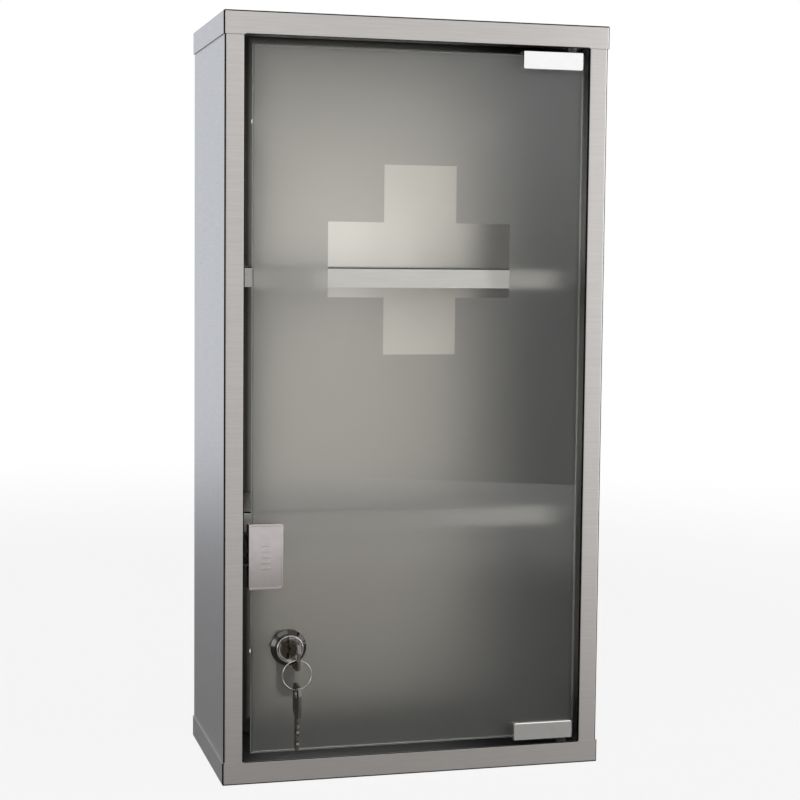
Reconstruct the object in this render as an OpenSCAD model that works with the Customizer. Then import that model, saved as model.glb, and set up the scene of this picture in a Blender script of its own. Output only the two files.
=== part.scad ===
// Lockable wall cabinet for medicines. A folded stainless casing with two
// fixed shelves carries a frosted glass door. The door turns on two corner
// pivots, and has a touch latch and a cam lock with two keys on a ring.
// Millimetres. The base stands on z = 0, the door faces -Y, and the origin is
// the middle of the base.

/* [Casing] */
// Outside width, over the end caps
casing_w = 302; // [290:1:330]
// Outside depth, over the end caps
casing_d = 150; // [140:1:180]
// Outside height
casing_h = 580; // [560:1:640]
// Thickness of the stainless sheet
sheet_t = 0.8; // [0.6:0.1:1.1]
// Inside radius of the bends in the sheet
bend_r = 0.8; // [0.6:0.1:1.2]
// Height of the skirt round each end cap
cap_h = 17.5; // [15:0.5:22]
// Width of the frame beside the door, from the side of the casing
frame_w = 16.5; // [15:0.5:20]
// Depth of the lips folded back round the door opening
lip_d = 12; // [11:0.5:15]
// Width of the rear flange of a side panel
rear_flange_w = 14; // [12:0.5:20]
// Gap between a cap and the panels inside it
cap_fit = 0.1; // [0.05:0.05:0.2]

/* [Wall fixing] */
// Radius of the four wall holes in the back panel
wall_hole_r = 3.5; // [2.5:0.5:5]
// Distance between the wall holes across the cabinet
wall_hole_x = 200; // [160:5:220]
// Distance between the wall holes up the cabinet
wall_hole_z = 440; // [420:5:460]

/* [Shelves] */
// Height of the top of the upper shelf above the base
upper_shelf_z = 392; // [360:1:430]
// Height of the top of the lower shelf above the base
lower_shelf_z = 204; // [202:1:240]
// Distance from the front of the casing to the front lip of a shelf
shelf_setback = 33; // [28:1:50]
// Height of the front lip of a shelf
shelf_lip_h = 15.5; // [10:0.5:16]
// Height of the rear lip of a shelf
shelf_rear_lip_h = 10; // [6:0.5:14]
// How far a shelf lip stops short of the side of the door opening
shelf_lip_stop = 3.5; // [2:0.5:8]
// Gap beside a shelf
shelf_side_gap = 0.3; // [0.2:0.1:0.8]
// Gap behind a shelf
shelf_rear_gap = 0.8; // [0.6:0.1:2]
// Width of each leg of a shelf support
support_w = 12; // [11:0.5:16]
// Length of a shelf support
support_l = 96; // [84:1:104]
// Thickness of a shelf support
support_t = 1; // [0.8:0.1:1.5]
// Distance between the rivets of a shelf support
support_rivet_pitch = 70; // [50:1:76]

/* [Rivets] */
// Radius of a rivet's shank
rivet_r = 1.6; // [1.2:0.1:2]
// Radius of a rivet's head
rivet_head_r = 3; // [2.6:0.1:3.6]
// Height of a rivet's head
rivet_head_h = 0.8; // [0.5:0.1:0.8]
// Height of the set tail of a rivet
rivet_tail_h = 0.4; // [0.2:0.1:0.5]
// Radius of the set tail of a rivet
rivet_tail_r = 2.1; // [2.1:0.1:2.5]
// Rivets down each edge of the back panel
panel_rivets_n = 4; // [3:1:6]
// Distance from the ends of the casing to the first of those rivets
panel_rivet_margin = 45; // [32:1:60]

/* [Door glass] */
// Thickness of the glass
glass_t = 5; // [4:0.5:6]
// How far the glass lies behind the front of the casing
glass_recess = 3; // [2.8:0.1:4.5]
// Gap between the frame and the free edge of the glass
glass_left_gap = 6.1; // [5:0.1:9]
// Gap between the frame and the hinged edge of the glass
glass_right_gap = 2.9; // [2.4:0.1:6]
// Bevel ground round both faces of the glass
glass_bevel = 1; // [0.5:0.1:1.5]

/* [Pivots] */
// Distance from the hinged edge of the glass to the pivot
pivot_inset = 10; // [8:0.5:12]
// Radius of the pivot pins
pin_r = 2; // [1.5:0.1:2.4]
// Running clearance of a pin in its bush
pin_fit = 0.05; // [0.03:0.01:0.09]
// Wall of a pivot bush
bush_wall = 1.5; // [1:0.1:1.6]
// Radius of the flange of a pivot bush
bush_flange_r = 5; // [4.8:0.1:5.4]
// Thickness of the flange of a pivot bush
bush_flange_t = 2.2; // [1.5:0.1:3]
// How far a bush stands out behind its plate
bush_end = 0.6; // [0.3:0.1:2]
// Thickness of a pivot washer
pivot_washer_t = 1; // [0.6:0.1:1.5]
// Radius of a pivot washer
pivot_washer_r = 4.6; // [4:0.1:5]
// Gap under the lower washer
thrust_play = 0.1; // [0.05:0.05:0.3]
// Gap over the upper washer, for lifting the door in
lift_play = 0.4; // [0.2:0.1:1]
// Thickness of the plates that stiffen the caps at the pivots
pivot_plate_t = 2; // [1.5:0.1:3]
// Length of a pivot plate
pivot_plate_l = 36; // [24:1:50]
// How far a pivot plate reaches past its pivot
pivot_plate_reach = 10; // [8:0.5:11]
// Gap round a pivot plate
pivot_plate_gap = 0.3; // [0.2:0.1:0.6]

/* [Hinge clips] */
// Length of a hinge clip
clip_l = 48; // [40:1:60]
// Height of a hinge clip
clip_h = 14; // [12:0.5:18]
// Thickness of the front plate of a clip
clip_front_t = 2; // [1.5:0.1:2.2]
// Thickness of the rear plate of a clip
clip_rear_t = 2.4; // [2:0.1:3]
// Thickness of the web across the edge of the glass
clip_web_t = 1.8; // [1.4:0.1:3]
// Distance from the hinged edge of the glass to the clip
clip_inset = 2.3; // [1:0.1:4]
// Radius along the edges of a clip
clip_edge_r = 0.9; // [0.4:0.1:1.2]
// Radius of the corners of a clip
clip_corner_r = 2; // [1:0.1:4]
// Thickness of the plastic liners between metal and glass
liner_t = 0.5; // [0.3:0.1:0.6]
// Radius of the set screws of a clip
set_screw_r = 2; // [1.5:0.1:2.5]
// Distance between the set screws of a clip
set_screw_pitch = 24; // [18:1:28]
// How far a set screw stands out of its clip
set_screw_proud = 0.3; // [0.1:0.1:0.8]

/* [Push plate] */
// Width of the push plate
push_w = 26.2; // [24:0.1:32]
// Height of the push plate
push_h = 50; // [40:1:54]
// Height of the middle of the push plate above the base
push_z = 174; // [160:1:175]
// Thickness of the push plate's front and rear leaves
push_t = 1.6; // [1:0.1:1.8]
// Thickness of the push plate round the edge of the glass
push_web_t = 2; // [1.2:0.1:2.5]
// Height of the raised rim of the push plate
push_rim_h = 0.5; // [0.3:0.1:0.7]
// Width of the raised rim of the push plate
push_rim_w = 1.5; // [1:0.1:3]
// Radius of the corners of the push plate on its free side
push_corner_r = 2.2; // [1.5:0.1:4]
// Radius of the corners of the push plate on its folded side
push_fold_r = 0.6; // [0.4:0.1:1]
// Grip ribs in the middle of the push plate
push_ribs_n = 5; // [3:1:7]
// Length of a grip rib
push_rib_l = 6; // [4:0.5:12]
// Height of a grip rib up the plate
push_rib_w = 1.6; // [1:0.1:2.5]
// Distance between the grip ribs
push_rib_pitch = 4.4; // [3.5:0.1:5]

/* [Lock] */
// Distance from the free edge of the glass to the lock's axis
lock_inset = 28.4; // [24:0.1:36]
// Height of the lock's axis above the base
lock_z = 103.8; // [96:0.1:112]
// Radius of the barrel's threaded shank
barrel_r = 9.5; // [9:0.1:10.5]
// Radius of the barrel's head
barrel_head_r = 10.4; // [10:0.1:12]
// Length of the barrel's head in front of the trim ring
barrel_head_l = 4.9; // [3:0.1:8]
// Chamfer round the face of the head
barrel_chamfer = 0.4; // [0.2:0.1:0.6]
// Width of the raised rim round the face of the head
barrel_rim_w = 1; // [0.8:0.1:1.4]
// How deep the face of the head is sunk inside its rim
barrel_dish = 0.5; // [0.2:0.1:0.8]
// Least length of barrel behind the nut
barrel_end = 0.6; // [0.4:0.1:3]
// Gap between the shank and the rings on it
shank_fit = 0.2; // [0.1:0.05:0.3]
// Gap between the shank and the glass
glass_hole_gap = 0.5; // [0.3:0.1:1]
// Radius of the trim ring
trim_r = 13.8; // [12.5:0.1:16]
// Thickness of the trim ring
trim_t = 2.4; // [1:0.1:3]
// Thickness of the trim ring at its edge, where its cone ends
trim_edge_t = 0.4; // [0.2:0.1:0.8]
// Width of the flat of the trim ring outside the barrel's head
trim_lip = 0.4; // [0.2:0.1:0.8]
// Thickness of the gasket in front of the glass
gasket_t = 0.5; // [0.3:0.1:1]
// How far the gasket stays inside the edge of the trim ring
gasket_inset = 0.6; // [0.2:0.1:1.5]
// Thickness of the plastic washer behind the glass
rear_washer_t = 0.8; // [0.5:0.1:1.5]
// How far that washer reaches past the flats of the nut
rear_washer_over = 1; // [0.5:0.1:3]
// Size of the lock nut across its flats
nut_af = 24; // [23:0.5:28]
// Thickness of the lock nut
nut_t = 4; // [3:0.1:4.5]
// Radius of the turning plug
plug_r = 6; // [5.6:0.1:6.4]
// Running clearance of the plug in the barrel
plug_fit = 0.06; // [0.03:0.01:0.09]
// Radius of the plug's head
plug_head_r = 7.4; // [7:0.1:8]
// Thickness of the plug's head
plug_head_t = 1.5; // [1:0.1:2]
// Gap between the key and the slots it passes
key_fit = 0.2; // [0.15:0.05:0.3]
// Metal between the end of the keyway and the stud
keyway_end = 0.5; // [0.3:0.1:1.5]
// Depth of the grooves that the wafers lock into
wafer_groove_d = 1; // [0.5:0.1:1.5]
// Wafers in the plug
wafers_n = 4; // [2:1:4]
// Distance from the lock's face to the first wafer
wafer_first = 4.6; // [4:0.1:6]
// Distance between the wafers
wafer_pitch = 3.2; // [2.4:0.1:3.3]
// Thickness of a wafer
wafer_t = 1; // [0.8:0.1:1.2]
// Width of a wafer
wafer_w = 7.2; // [6.8:0.1:7.6]
// Gap round a wafer in its slot
wafer_gap = 0.1; // [0.05:0.05:0.15]
// Radius of the wire of a wafer spring
wafer_wire_r = 0.1; // [0.08:0.01:0.12]
// Turns of a wafer spring
wafer_spring_turns = 5; // [3:1:6]
// Radius of the stud that carries the cam
stud_r = 4; // [3.5:0.1:4.5]
// Size of the stud across its flats
stud_af = 6; // [5:0.1:6.6]
// How far the stud stands out of the cam nut
stud_end = 0.3; // [0.1:0.1:2]
// Gap between the cam and the parts beside it
cam_gap = 0.1; // [0.05:0.05:0.3]
// Gap between the cam and the lip that it locks behind
cam_clear = 1.2; // [0.6:0.1:2]
// Thickness of the cam
cam_t = 2; // [1.5:0.1:3]
// Width of the cam
cam_w = 14; // [12:0.5:18]
// How far the round end of the cam reaches past its arm
cam_boss = 1; // [0:0.1:2]
// How far the cam reaches past the edge of the frame when it is turned
cam_reach = 5.5; // [3:0.1:9]
// Size of the cam nut across its flats
cam_nut_af = 13; // [12:0.5:15]
// Thickness of the cam nut
cam_nut_t = 3.2; // [2.5:0.1:5]
// Radius of the washer under the cam nut
cam_washer_r = 7; // [6:0.1:8]
// Thickness of the washer under the cam nut
cam_washer_t = 0.8; // [0.5:0.1:1.5]

/* [Keys] */
// Thickness of a key
key_t = 2; // [1.6:0.1:2.4]
// Length of a key's blade
blade_l = 25.5; // [23:0.5:30]
// Width of a key's blade
blade_w = 8; // [7:0.1:8.2]
// Length of a key's bow
bow_l = 25.5; // [22:0.5:30]
// Width of a key's bow
bow_w = 22; // [20:0.5:26]
// Radius of the hole in the bow
bow_hole_r = 4; // [3:0.1:5]
// Distance from the end of the bow to the middle of its hole
bow_hole_end = 7.5; // [6.5:0.1:9]
// Notches in the blade
notch_n = 4; // [2:1:5]
// Distance between the notches
notch_pitch = 4.4; // [3.6:0.1:4.6]
// Distance from the bow to the first notch
notch_first = 5; // [4:0.1:6]
// Width of the grooves milled along the blade
groove_w = 1.2; // [0.8:0.1:1.6]
// Depth of those grooves
groove_d = 0.4; // [0.2:0.1:0.6]
// Distance of those grooves from the middle of the blade
groove_off = 1.2; // [1:0.1:2]
// Gap between the tip of the key and the end of the keyway
key_tip_gap = 0.3; // [0.2:0.1:1]
// Mean radius of the key ring
ring_r = 11; // [10:0.5:16]
// Radius of the wire of the key ring
ring_wire_r = 0.45; // [0.35:0.05:0.6]
// Gap between the ring and the hole that it swings in
ring_gap = 0.15; // [0.1:0.05:0.3]

/* [Touch latch] */
// Width of the latch housing
latch_w = 14; // [12:0.5:18]
// Height of the latch housing
latch_h = 18; // [15:0.5:20]
// Radius along the edges of the housing
latch_corner_r = 1; // [0.5:0.1:2]
// Distance that the plunger is pushed in to release
latch_travel = 3; // [2:0.1:4]
// Distance that the plunger then springs out
latch_throw = 15; // [10:0.5:18]
// Thickness of the housing's front wall
latch_wall = 4.8; // [3:0.1:6]
// Radius of the plunger's steel tip
tip_r = 5; // [4:0.1:6.5]
// Length of the plunger's steel tip
tip_l = 4.5; // [4:0.1:6]
// Gap between the tip and the push plate
tip_gap = 0.2; // [0.1:0.1:0.5]
// Radius of the magnet in the tip
magnet_r = 3.6; // [2.8:0.1:3.8]
// Length of the magnet
magnet_l = 3; // [2:0.1:3.3]
// Radius of the plunger's rod
rod_r = 3; // [2.4:0.1:3.4]
// Running clearance of the plunger
rod_fit = 0.06; // [0.03:0.01:0.09]
// Radius of the plunger's collar
collar_r = 4.6; // [4.2:0.1:5]
// Thickness of the plunger's collar
collar_t = 3; // [2:0.1:5]
// Length of the spring in the latch
latch_spring_l = 20; // [14:0.5:24]
// Radius of the wire of that spring
latch_wire_r = 0.4; // [0.3:0.05:0.5]
// Turns of that spring
latch_spring_turns = 7; // [5:1:9]
// Gap between the plunger's tail and the plug when it is pushed in
latch_tail_gap = 2; // [1:0.1:4]
// Thickness of the plug that closes the housing
end_plug_t = 3; // [2:0.1:5]
// Thickness of the latch bracket
bracket_t = 1.2; // [0.8:0.1:2]
// Height of the bracket's foot on the side panel
bracket_foot_h = 16; // [10:0.5:20]
// Length of the bracket
bracket_l = 34; // [26:1:38]
// How far the bracket reaches past the housing
bracket_reach = 2; // [0.5:0.5:5]
// Radius of the latch screws
latch_screw_r = 1.5; // [1.2:0.1:1.8]
// Distance between the latch screws
latch_screw_pitch = 22; // [16:1:24]
// Depth of the latch screws in the housing
latch_screw_in = 3; // [2:0.1:3.5]
// Radius of the heads of the latch screws
latch_screw_head_r = 2.7; // [2.4:0.1:3]
// Height of those heads
latch_screw_head_h = 1.8; // [1.2:0.1:2.4]

/* [Hidden] */
$fn = 48;

steel = "#c4c4c2";
chrome = "#e4e6e8";
nickel = "#b8b4aa";
frosted = "#a6a49c";
nylon = "#e6e4dc";
dark_plastic = "#2c2c2e";
brass = "#b89a58";
magnet_grey = "#5a5a5e";

// Clearance of parts that are pressed or screwed together
snug = 0.02;
// Clearance round a countersunk rivet head
sink_gap = 0.05;
// Overshoot of a cut past the face that it breaks
past = 1;
// Segments in each rounded corner of an outline
arc_n = 5;

// Casing planes
front_y = -casing_d / 2;
panel_x = casing_w / 2 - sheet_t - cap_fit;
panel_y = casing_d / 2 - sheet_t - cap_fit;
panel_z0 = sheet_t + cap_fit;
panel_z1 = casing_h - panel_z0;
wall_x = panel_x - sheet_t;
open_x = casing_w / 2 - frame_w;
open_z0 = cap_h;
open_z1 = casing_h - cap_h;
lip_y = lip_d - panel_y;
bend_out = bend_r + sheet_t;
back_y1 = panel_y - sheet_t;
back_y0 = back_y1 - sheet_t;
back_x = wall_x - bend_r - cap_fit;
rivet_x = panel_x - rear_flange_w / 2;
rivet_hole_r = rivet_r + snug;

// Shelves
shelf_y0 = front_y + shelf_setback;
shelf_y1 = back_y0 - shelf_rear_gap;
shelf_x = wall_x - shelf_side_gap;
shelf_lip_x = open_x - shelf_lip_stop;
support_y = (shelf_y0 + shelf_y1) / 2;
support_rivet_x = wall_x - support_w / 2 - support_t / 2;

// Door: heights are stacked up from the bush in the bottom cap
clip_z0 = open_z0 + bush_flange_t + thrust_play + pivot_washer_t;
clip_z1 = open_z1 - bush_flange_t - lift_play - pivot_washer_t;
clip_fill = clip_web_t + liner_t;
glass_z0 = clip_z0 + clip_fill;
glass_z1 = clip_z1 - clip_fill;
glass_x0 = glass_left_gap - open_x;
glass_x1 = open_x - glass_right_gap;
glass_y0 = front_y + glass_recess;
glass_y1 = glass_y0 + glass_t;
pivot_x = glass_x1 - pivot_inset;
pivot_y = (glass_y0 + glass_y1) / 2;
clip_x1 = glass_x1 - clip_inset;
clip_x0 = clip_x1 - clip_l;
clip_y0 = glass_y0 - liner_t - clip_front_t;
clip_y1 = glass_y1 + liner_t + clip_rear_t;
liner_y0 = glass_y0 - liner_t;
liner_y1 = glass_y1 + liner_t;
bush_r = pin_r + pin_fit + bush_wall;
pivot_plate_z1 = open_z0 - sheet_t;
pivot_plate_z0 = pivot_plate_z1 - pivot_plate_t;
bush_z0 = pivot_plate_z0 - bush_end;

// Push plate
push_x0 = glass_x0 - liner_t - push_web_t;
push_x1 = push_x0 + push_w;
push_z0 = push_z - push_h / 2;
push_y0 = liner_y0 - push_t;
push_y1 = liner_y1 + push_t;

// Lock: depths run back from the face of the head
lock_x = glass_x0 + lock_inset;
trim_y0 = liner_front(gasket_t) - trim_t;
face_y = trim_y0 - barrel_head_l;
nut_y0 = glass_y1 + rear_washer_t;
nut_y1 = nut_y0 + nut_t;
cam_y0 = max(lip_y + cam_clear, nut_y1 + barrel_end + cam_gap);
cam_y1 = cam_y0 + cam_t;
barrel_y1 = cam_y0 - cam_gap;
cam_l = lock_x + open_x + cam_reach;
cam_nut_y0 = cam_y1 + cam_washer_t;
cam_nut_y1 = cam_nut_y0 + cam_nut_t;
stud_y1 = cam_nut_y1 + stud_end;
keyway_w = key_t + 2 * key_fit;
keyway_h = blade_w + 2 * key_fit;
keyway_y1 = barrel_y1 - keyway_end;
wafer_slot_w = wafer_w + 2 * wafer_gap;
wafer_slot_t = wafer_t + 2 * wafer_gap;
wafer_h = 2 * sqrt(pow(plug_r - wafer_gap, 2) - pow(wafer_w / 2, 2));
spring_pocket_w = (wafer_w - keyway_w) / 4;
spring_pocket_x = wafer_w / 2 - spring_pocket_w / 2;
spring_pocket_h = wafer_h / 2;

// Keys
key_in = keyway_y1 - key_tip_gap - face_y;
key_tip_y = face_y + key_in;
bow_hole_y = key_tip_y - blade_l - bow_l + bow_hole_end;
ring_coil = ring_wire_r * 0.9;
ring_hang = bow_hole_r - ring_coil - ring_wire_r - ring_gap;
ring_top_z = lock_z - ring_hang;
ring_mid_z = ring_top_z - ring_r;
ring_low_z = ring_mid_z - ring_r;
spare_hole_z = ring_low_z - ring_hang;

// Touch latch: depths run back from the push plate
latch_x = (push_x0 + push_x1) / 2;
tip_y0 = push_y1 + tip_gap;
tip_y1 = tip_y0 + tip_l;
latch_y0 = tip_y1 + latch_travel + tip_gap;
chamber_y0 = latch_y0 + latch_wall;
chamber_r = collar_r + rod_fit;
collar_y0 = chamber_y0 + latch_throw;
collar_y1 = collar_y0 + collar_t;
end_plug_y0 = collar_y1 + latch_spring_l;
latch_y1 = end_plug_y0 + end_plug_t;
latch_z0 = push_z - latch_h / 2;
bracket_y = (latch_y0 + latch_y1) / 2;
latch_spring_r = chamber_r - 3 * latch_wire_r / 2;

function liner_front(t) = glass_y0 - t;

// Unit vector along v, and v turned a quarter left
function unit(v) = v / norm(v);
function left_of(v) = [-v[1], v[0]];
function turned(v, a) = [v[0] * cos(a) - v[1] * sin(a), v[0] * sin(a) + v[1] * cos(a)];

// Points and left normals round one bend of mean radius r, from a through b to c
function bend_stations(a, b, c, r) =
  let (u = unit(b - a), w = unit(c - b), turn = atan2(u[0] * w[1] - u[1] * w[0], u * w),
       s = sign(turn), mid = b - u * r * tan(abs(turn) / 2) + s * r * left_of(u))
  [for (k = [0:arc_n]) let (n = turned(left_of(u), turn * k / arc_n)) [mid - s * r * n, n]];

// Outline of a sheet of thickness t folded along the centre line p
function folded_outline(p, t, r) =
  let (last = len(p) - 1,
       stations = concat(
         [[p[0], left_of(unit(p[1] - p[0]))]],
         [for (i = [1:last - 1]) each bend_stations(p[i - 1], p[i], p[i + 1], r + t / 2)],
         [[p[last], left_of(unit(p[last] - p[last - 1]))]]))
  concat([for (s = stations) s[0] + s[1] * t / 2],
         [for (i = [len(stations) - 1:-1:0]) stations[i][0] - stations[i][1] * t / 2]);

// Outline of a rectangle from lo to hi with rounded corners; radii run
// anticlockwise from the low corner
function round_rect(lo, hi, r) =
  let (c = [lo, [hi[0], lo[1]], hi, [lo[0], hi[1]]], inward = [[1, 1], [-1, 1], [-1, -1], [1, -1]])
  [for (i = [0:3]) for (k = [0:arc_n])
    let (a = 180 + 90 * i + 90 * k / arc_n)
    c[i] + r[i] * (inward[i] + [cos(a), sin(a)])];

// Tube swept along a helix about Z from z = 0 to z = length
module coil_spring(mean_r, wire_r, length, turns, steps, sides) {
  n = turns * steps;
  rise = length - 2 * wire_r;
  points = [
    for (i = [0:n]) let (a = 360 * i / steps, z = wire_r + rise * i / n)
      for (k = [0:sides - 1]) let (b = 360 * k / sides, r = mean_r + wire_r * cos(b))
        [r * cos(a), r * sin(a), z + wire_r * sin(b)]
  ];
  walls = [
    for (i = [0:n - 1]) for (k = [0:sides - 1])
      let (k2 = (k + 1) % sides, a = i * sides + k, b = i * sides + k2)
        each [[a, a + sides, b], [b, a + sides, b + sides]]
  ];
  first_end = [for (k = [0:sides - 1]) k];
  last_end = [for (k = [sides - 1:-1:0]) n * sides + k];
  polyhedron(points, concat(walls, [first_end, last_end]), convexity = 10);
}

// Box between two corners
module block(lo, hi) {
  translate(lo) cube(hi - lo);
}

// Cylinder along Y between two depths
module rod_y(r, y0, y1) {
  translate([0, y0, 0]) rotate([-90, 0, 0]) cylinder(r = r, h = y1 - y0);
}

// Ring along Y between two depths
module ring_y(r_out, r_in, y0, y1) {
  difference() {
    rod_y(r_out, y0, y1);
    rod_y(r_in, y0 - past, y1 + past);
  }
}

// Hexagon along Y between two depths, with a round hole
module hex_nut_y(af, hole_r, y0, y1) {
  difference() {
    translate([0, y0, 0]) rotate([-90, 0, 0]) cylinder(r = af / sqrt(3), h = y1 - y0, $fn = 6);
    rod_y(hole_r, y0 - past, y1 + past);
  }
}

// Turns an outline drawn in (x, z) into a plate along Y
module plate_y(y0, y1) {
  translate([0, y1, 0]) rotate([90, 0, 0]) linear_extrude(y1 - y0) children();
}

// Turns an outline drawn in (y, z) into a bar along X
module bar_x(x0, x1) {
  translate([x0, 0, 0]) rotate([90, 0, 90]) linear_extrude(x1 - x0) children();
}

// What is cut from a square edge along X to round it; the edge is the origin
// and the solid lies towards +Y and +Z
module edge_cut(r, length) {
  bar_x(-length / 2 - past, length / 2 + past) polygon(concat(
    [[-past, -past], [r, -past]],
    [for (k = [0:arc_n]) r * [1, 1] - r * [sin(90 * k / arc_n), cos(90 * k / arc_n)]],
    [[-past, r]]
  ));
}

// Rivet along Y: the set tail starts at y0, and the head ends at y1
module rivet_y(y0, y1) {
  rod_y(rivet_r, y0, y1);
  rod_y(rivet_head_r, y1 - rivet_head_h, y1);
  rod_y(rivet_tail_r, y0, y0 + rivet_tail_h);
}

module side_panel() {
  mid = sheet_t / 2;
  difference() {
    translate([0, 0, panel_z0]) linear_extrude(panel_z1 - panel_z0) polygon(folded_outline([
      [open_x + mid, lip_y],
      [open_x + mid, mid - panel_y],
      [panel_x - mid, mid - panel_y],
      [panel_x - mid, panel_y - mid],
      [panel_x - rear_flange_w, panel_y - mid]
    ], sheet_t, bend_r));
    for (z = edge_rivet_heights()) translate([rivet_x, 0, z])
      rod_y(rivet_hole_r, back_y1 - past, panel_y + past);
  }
}

function panel_rivet_heights() =
  let (run = casing_h - 2 * panel_rivet_margin)
  [for (i = [0:panel_rivets_n - 1]) panel_rivet_margin + run * i / (panel_rivets_n - 1)];
function cap_rivet_heights() = [cap_h / 2, casing_h - cap_h / 2];
function edge_rivet_heights() = concat(panel_rivet_heights(), cap_rivet_heights());

module left_side_panel() {
  color(steel) mirror([1, 0, 0]) side_panel();
}

module right_side_panel() {
  color(steel) side_panel();
}

module back_panel() {
  color(steel) difference() {
    block([-back_x, back_y0, panel_z0], [back_x, back_y1, panel_z1]);
    for (x = [-rivet_x, rivet_x], z = edge_rivet_heights()) translate([x, 0, z])
      rod_y(rivet_hole_r, back_y0 - past, back_y1 + past);
    for (x = [-wall_hole_x / 2, wall_hole_x / 2], z = [-wall_hole_z / 2, wall_hole_z / 2])
      translate([x, 0, casing_h / 2 + z]) rod_y(wall_hole_r, back_y0 - past, back_y1 + past);
  }
}

// Bottom cap: a tray with its front skirt folded back as a lip
module end_cap() {
  x = casing_w / 2;
  y = casing_d / 2;
  inner = [x - sheet_t, y - sheet_t];
  lip_x = open_x - cap_fit;
  difference() {
    union() {
      difference() {
        linear_extrude(cap_h) polygon(round_rect(-[x, y], [x, y], bend_out * [1, 1, 1, 1]));
        translate([0, 0, sheet_t]) linear_extrude(cap_h)
          polygon(round_rect(-inner, inner, bend_r * [1, 1, 1, 1]));
      }
      block([-lip_x, front_y, cap_h - sheet_t], [lip_x, front_y + lip_d, cap_h]);
    }
    for (side = [0, 180]) rotate([0, 0, side]) translate([0, -y, 0]) edge_cut(bend_out, casing_w);
    for (side = [90, 270]) rotate([0, 0, side]) translate([0, -x, 0]) edge_cut(bend_out, casing_d);
    translate([0, front_y, cap_h]) mirror([0, 0, 1]) intersection() {
      edge_cut(bend_out / 2, casing_w);
      block([-lip_x, -past, -past], [lip_x, bend_out, bend_out]);
    }
    translate([pivot_x, pivot_y, cap_h - sheet_t - past]) cylinder(r = bush_r + snug, h = sheet_t + 2 * past);
    for (side = [-rivet_x, rivet_x]) translate([side, 0, cap_h / 2])
      rod_y(rivet_hole_r, inner[1] - past, y + past);
  }
}

// Turns a part at the bottom of the door opening into the one at the top
module at_top() {
  translate([0, 0, casing_h]) mirror([0, 0, 1]) children();
}

module bottom_cap() {
  color(steel) end_cap();
}

module top_cap() {
  color(steel) at_top() end_cap();
}

module shelf(top_z) {
  mid = sheet_t / 2;
  z = top_z - mid;
  flat_y0 = shelf_y0 + bend_out;
  flat_y1 = shelf_y1 - bend_out;
  color(steel) difference() {
    union() {
      bar_x(-shelf_lip_x, shelf_lip_x) polygon(folded_outline([
        [shelf_y0 + mid, top_z - shelf_lip_h],
        [shelf_y0 + mid, z],
        [shelf_y1 - mid, z],
        [shelf_y1 - mid, top_z - shelf_rear_lip_h]
      ], sheet_t, bend_r));
      block([-shelf_x, flat_y0, top_z - sheet_t], [shelf_x, flat_y1, top_z]);
    }
    shelf_rivet_places() translate([0, 0, top_z]) countersink(sink_gap, past);
  }
}

// Cone that a flush rivet head fills, through the sheet of a shelf, whose top
// is z = 0; a cut is wider by a gap and runs past both faces
module countersink(gap, run_out) {
  widening = (rivet_head_r - rivet_r) / sheet_t;
  r = rivet_r + gap;
  h = sheet_t + run_out;
  translate([0, 0, -sheet_t]) cylinder(r1 = r, r2 = r + widening * h, h = h);
  translate([0, 0, -h]) cylinder(r = r, h = h);
}

module shelf_rivet_places() {
  for (x = [-support_rivet_x, support_rivet_x], y = [-support_rivet_pitch / 2, support_rivet_pitch / 2])
    translate([x, support_y + y, 0]) children();
}

module upper_shelf() {
  shelf(upper_shelf_z);
}

module lower_shelf() {
  shelf(lower_shelf_z);
}

// Angles welded to the side panels, one under each end of each shelf
module shelf_supports() {
  mid = support_t / 2;
  color(steel) for (top_z = [upper_shelf_z, lower_shelf_z]) {
    z = top_z - sheet_t;
    difference() {
      for (side = [0, 1]) mirror([side, 0, 0])
        translate([0, support_y + support_l / 2, 0]) rotate([90, 0, 0]) linear_extrude(support_l)
          polygon(folded_outline([
            [wall_x - mid, z - support_w],
            [wall_x - mid, z - mid],
            [wall_x - support_w, z - mid]
          ], support_t, bend_r));
      shelf_rivet_places() translate([0, 0, z - support_t - past])
        cylinder(r = rivet_hole_r, h = support_t + 2 * past);
    }
  }
}

// Countersunk, so that the shelves stay flat on top
module shelf_rivets() {
  grip = sheet_t + support_t;
  color(nickel) for (top_z = [upper_shelf_z, lower_shelf_z]) shelf_rivet_places() translate([0, 0, top_z]) {
    countersink(0, 0);
    translate([0, 0, -grip - rivet_tail_h]) cylinder(r = rivet_r, h = grip + rivet_tail_h);
    translate([0, 0, -grip - rivet_tail_h]) cylinder(r = rivet_tail_r, h = rivet_tail_h);
  }
}

// Heads sit behind the rear flanges, inside the depth of the caps
module panel_rivets() {
  color(nickel) for (x = [-rivet_x, rivet_x], z = panel_rivet_heights())
    translate([x, 0, z]) rivet_y(back_y0 - rivet_tail_h, panel_y + rivet_head_h);
}

// Heads sit inside the casing, and the shanks end flush with the back of the caps
module cap_rivets() {
  color(nickel) for (x = [-rivet_x, rivet_x], z = cap_rivet_heights())
    translate([x, 0, z]) {
      rod_y(rivet_r, back_y0 - rivet_head_h, casing_d / 2);
      rod_y(rivet_head_r, back_y0 - rivet_head_h, back_y0);
    }
}

module pivot_plate() {
  difference() {
    block(
      [pivot_x + pivot_plate_reach - pivot_plate_l, front_y + sheet_t + pivot_plate_gap, pivot_plate_z0],
      [pivot_x + pivot_plate_reach, front_y + lip_d - pivot_plate_gap, pivot_plate_z1]
    );
    translate([pivot_x, pivot_y, pivot_plate_z0 - past])
      cylinder(r = bush_r + snug, h = pivot_plate_t + 2 * past);
  }
}

module bottom_pivot_plate() {
  color(steel) pivot_plate();
}

module top_pivot_plate() {
  color(steel) at_top() pivot_plate();
}

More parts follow.
